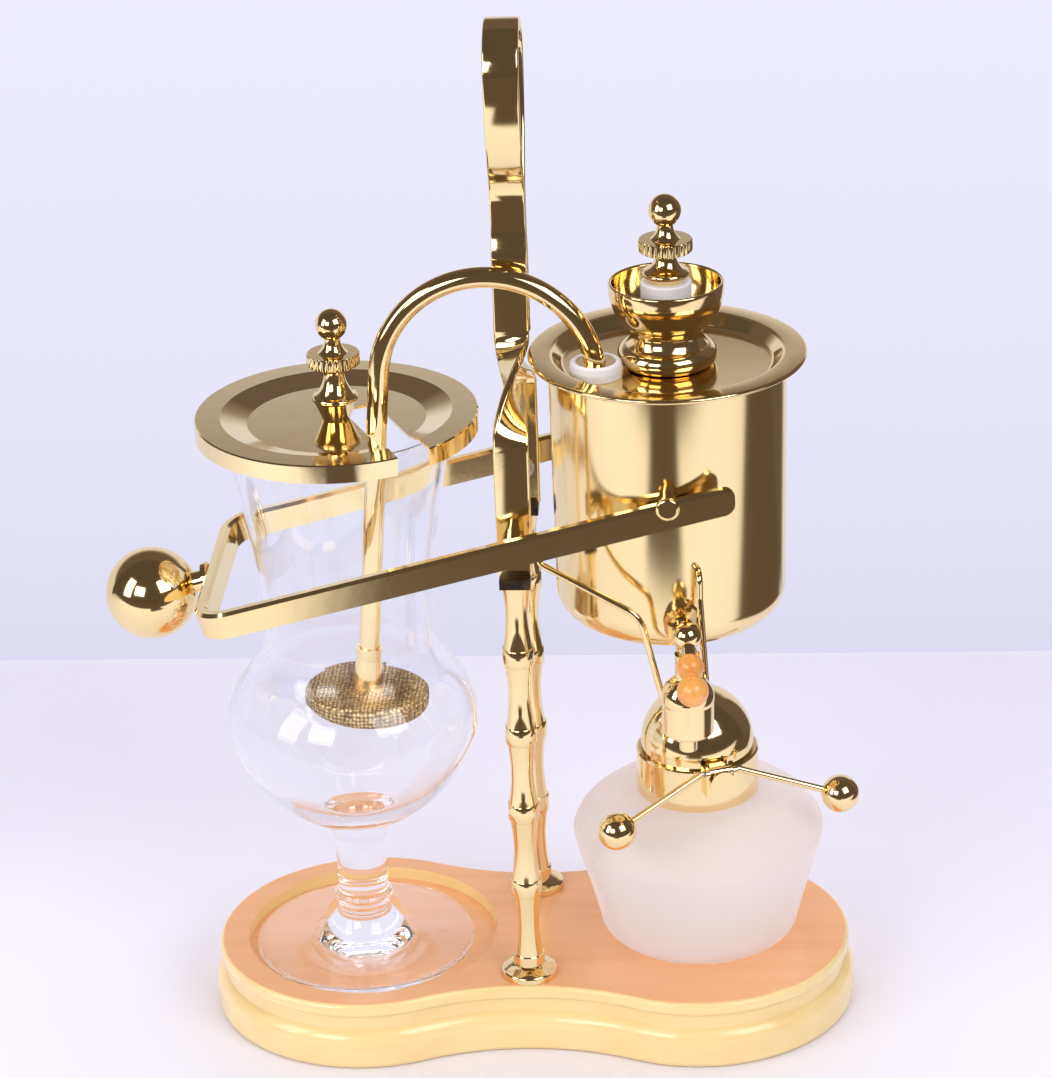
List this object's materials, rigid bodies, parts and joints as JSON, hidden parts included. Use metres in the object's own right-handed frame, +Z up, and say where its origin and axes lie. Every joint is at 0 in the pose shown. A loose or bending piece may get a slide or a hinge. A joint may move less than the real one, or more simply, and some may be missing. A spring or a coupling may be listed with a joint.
{
  "type": "balance syphon coffee maker",
  "caption": "Balance syphon coffee maker: boiler and counterweight on a tilting lever, siphon tube into a stemmed glass, spirit burner, wood base and twisted carrying handle.",
  "frame": {"origin": "centre of the base's underside", "axes": "+Z up, +X from the glass towards the boiler, -Y towards the front with the tap"},
  "size_m": [0.2876, 0.1461, 0.3992],
  "materials": {
    "base_wood": "lacquered",
    "polished_gold": "mirror polished",
    "cast_gold": "gold plated, polished",
    "fixing_steel": "plain",
    "dark_metal": "dark",
    "clear_glass": "clear",
    "frosted_glass": "frosted",
    "white_rubber": "satin",
    "filter_core": "plain",
    "filter_mesh": "woven",
    "grip_wood": "lacquered",
    "wick_cotton": "braided"
  },
  "bodies": {
    "stand": {"wood_base": "base_wood", "front_pillar": "polished_gold", "rear_pillar": "polished_gold", "front_pillar_foot": "polished_gold", "rear_pillar_foot": "polished_gold", "pillar_screws": "fixing_steel", "front_head_block": "dark_metal", "rear_head_block": "dark_metal", "carrying_handle": "polished_gold", "lever_pivot_pins": "fixing_steel", "lever_bushes": "polished_gold", "glass_goblet": "clear_glass"},
    "lever": {"lever_strap": "polished_gold", "counterweight_ball": "polished_gold", "counterweight_stud": "polished_gold", "trip_wire": "polished_gold"},
    "boiler": {"boiler_shell": "polished_gold", "boiler_lid": "polished_gold", "filler_cup": "cast_gold", "front_trunnion": "polished_gold", "rear_trunnion": "polished_gold", "trunnion_screws": "polished_gold", "tube_stopper": "white_rubber", "tube_bush": "cast_gold", "siphon_tube": "polished_gold", "filter_socket": "polished_gold", "filter_disc": "filter_core", "filter_cloth": "filter_mesh", "tap_collar": "polished_gold", "tap_body": "polished_gold", "tap_stay": "polished_gold"},
    "tap_handle": {"tap_spindle": "polished_gold", "tap_knob": "grip_wood"},
    "filler_plug": {"plug_knob": "polished_gold", "plug_seal": "white_rubber"},
    "glass_lid": {"goblet_lid": "polished_gold", "lid_knob": "polished_gold"},
    "burner": {"burner_jar": "frosted_glass", "burner_collar": "polished_gold", "wick_tube": "polished_gold", "wick": "wick_cotton", "hinge_bracket": "polished_gold"},
    "snuffer": {"snuffer_cap": "polished_gold", "snuffer_leaf": "polished_gold", "hinge_pin": "fixing_steel", "snuffer_rods": "polished_gold", "snuffer_balls": "polished_gold"}
  },
  "joints": [
    {"name": "lever_tilt", "type": "hinge", "parent": "stand", "child": "lever", "pos_m": [0, 0, 0.2121], "axis": [0, 1, 0], "range_deg": [0, 16]},
    {"name": "boiler_swing", "type": "hinge", "parent": "lever", "child": "boiler", "pos_m": [0.05701, 0, 0.23051], "axis": [0, 1, 0], "range_deg": [-16, 0]},
    {"name": "tap_turn", "type": "hinge", "parent": "boiler", "child": "tap_handle", "pos_m": [0.06332, -0.05997, 0.18351], "axis": [0, 0, 1], "range_deg": [0, 90]},
    {"name": "plug_lift", "type": "slide", "parent": "boiler", "child": "filler_plug", "axis": [0, 0, 1], "range_m": [0, 0.03]},
    {"name": "glass_lid_lift", "type": "slide", "parent": "stand", "child": "glass_lid", "axis": [0, 0, 1], "range_m": [0, 0.008]},
    {"name": "burner_slide", "type": "slide", "parent": "stand", "child": "burner", "axis": [1, 0, 0], "range_m": [0, 0.12]},
    {"name": "snuffer_flip", "type": "hinge", "parent": "burner", "child": "snuffer", "pos_m": [0.07473, -0.02034, 0.1072], "axis": [0.9455, 0.3256, 0], "range_deg": [0, 110]}
  ],
  "couplings": [
    {"joint": "boiler_swing", "follows": "lever_tilt", "ratio": -1}
  ]
}
